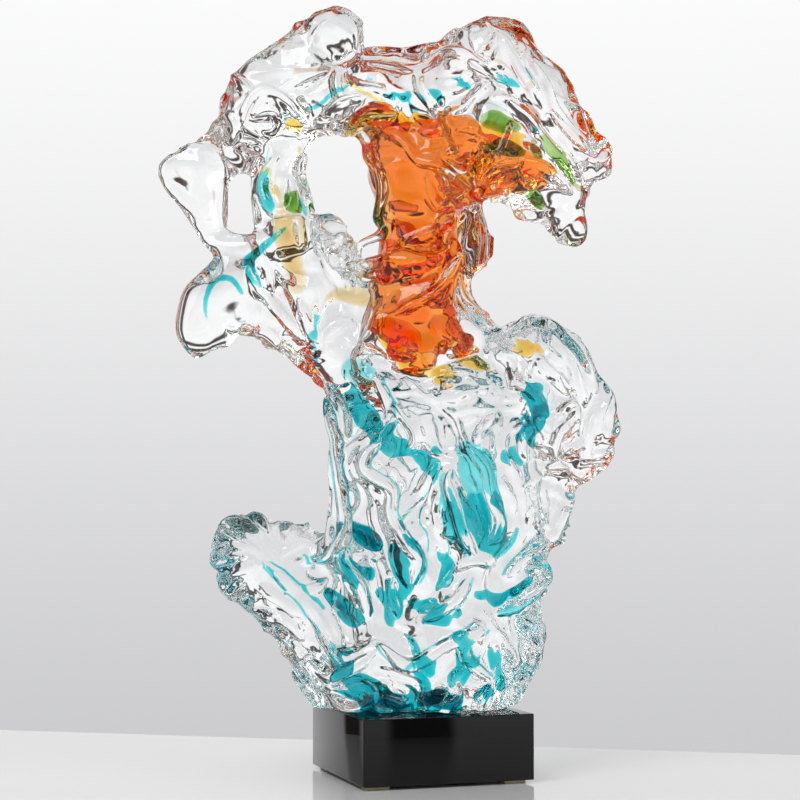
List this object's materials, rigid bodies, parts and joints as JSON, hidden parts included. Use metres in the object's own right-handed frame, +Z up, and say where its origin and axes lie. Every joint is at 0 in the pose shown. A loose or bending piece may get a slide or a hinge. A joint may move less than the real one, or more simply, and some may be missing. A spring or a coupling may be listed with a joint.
{
  "type": "glass scholar stone ornament",
  "caption": "Pierced, free-form scholar stone of hot-worked clear glass with coloured glass inside it, on a polished black plinth, to stand on a shelf or desk.",
  "frame": {"origin": "centre of the underside of the whole ornament's box, on the surface that it stands on", "axes": "+Z up; the plinth's front face looks along -Y, and +X is to the right of someone facing it"},
  "size_m": [0.3486, 0.1374, 0.602],
  "materials": {
    "clear_glass": "fire-polished clear glass",
    "teal_glass": "transparent teal glass inside the clear glass",
    "orange_glass": "transparent orange glass inside the clear glass",
    "amber_glass": "transparent amber glass inside the clear glass",
    "green_glass": "transparent leaf-green glass inside the clear glass",
    "black_crystal": "polished opaque black crystal",
    "cream_rubber": "matt cream rubber",
    "bond_resin": "clear cured resin"
  },
  "bodies": {
    "root": {"plinth": "black_crystal", "bond_film": "bond_resin", "orange_core": "orange_glass", "amber_core": "amber_glass", "amber_arc_core": "amber_glass", "green_core": "green_glass", "teal_crest_core": "teal_glass", "teal_arc_core": "teal_glass", "teal_trunk_core": "teal_glass", "pad_front_left": "cream_rubber", "pad_front_right": "cream_rubber", "pad_back_left": "cream_rubber", "pad_back_right": "cream_rubber", "trunk": "clear_glass", "left_wing": "clear_glass", "right_shoulder": "clear_glass", "right_flank": "clear_glass", "right_foot_lobes": "clear_glass", "neck": "clear_glass", "neck_lobe": "clear_glass", "neck_veil": "clear_glass", "canopy_crest": "clear_glass", "canopy_left": "clear_glass", "canopy_right": "clear_glass", "top_knob": "clear_glass", "hanging_lobes": "clear_glass", "left_arc": "clear_glass", "hole_sill": "clear_glass", "left_horn": "clear_glass", "curl_lip": "clear_glass", "tongue": "clear_glass", "hole_drip": "clear_glass"}
  },
  "joints": []
}
